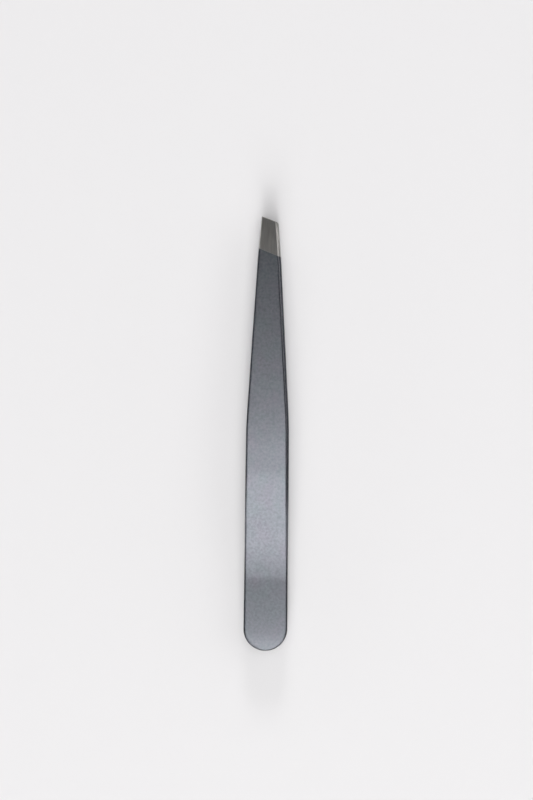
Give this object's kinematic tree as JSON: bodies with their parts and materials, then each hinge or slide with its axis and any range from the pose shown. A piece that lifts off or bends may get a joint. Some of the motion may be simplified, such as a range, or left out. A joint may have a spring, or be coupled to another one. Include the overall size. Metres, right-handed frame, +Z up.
{
  "type": "slant tweezers",
  "caption": "Slant-tip tweezers: two bowed spring arms of coated sheet steel, welded at the round butt, with ground bare tips that close when squeezed.",
  "frame": {"origin": "centre of the bounding box's underside: the level surface that the lower arm's crest rests on", "axes": "+Y along the length, from the butt to the tips; +Z up, from the lower arm to the upper arm; +X across the arms"},
  "size_m": [0.0096, 0.095, 0.0099],
  "materials": {
    "gunmetal_coat": "satin gunmetal-grey metallic coat with a fine grain",
    "bare_steel": "bare stainless steel, ground lengthwise at the tips"
  },
  "bodies": {
    "welded_butt": {"upper_arm_root": "gunmetal_coat", "lower_arm_root": "gunmetal_coat", "weld_nugget_rear": "bare_steel", "weld_nugget_front": "bare_steel"},
    "upper_blade": {"upper_arm_blade": "gunmetal_coat"},
    "lower_blade": {"lower_arm_blade": "gunmetal_coat"}
  },
  "joints": [
    {"name": "upper_arm_flex", "type": "hinge", "parent": "welded_butt", "child": "upper_blade", "pos_m": [0, -0.0205, 0.00745], "axis": [-1, 0, 0], "range_deg": [0, 1.92], "stiffness_Nm_per_rad": 5},
    {"name": "lower_arm_flex", "type": "hinge", "parent": "welded_butt", "child": "lower_blade", "pos_m": [0, -0.0205, 0.00245], "axis": [1, 0, 0], "range_deg": [0, 1.92], "stiffness_Nm_per_rad": 5}
  ],
  "couplings": [
    {"joint": "lower_arm_flex", "follows": "upper_arm_flex", "ratio": 1}
  ]
}
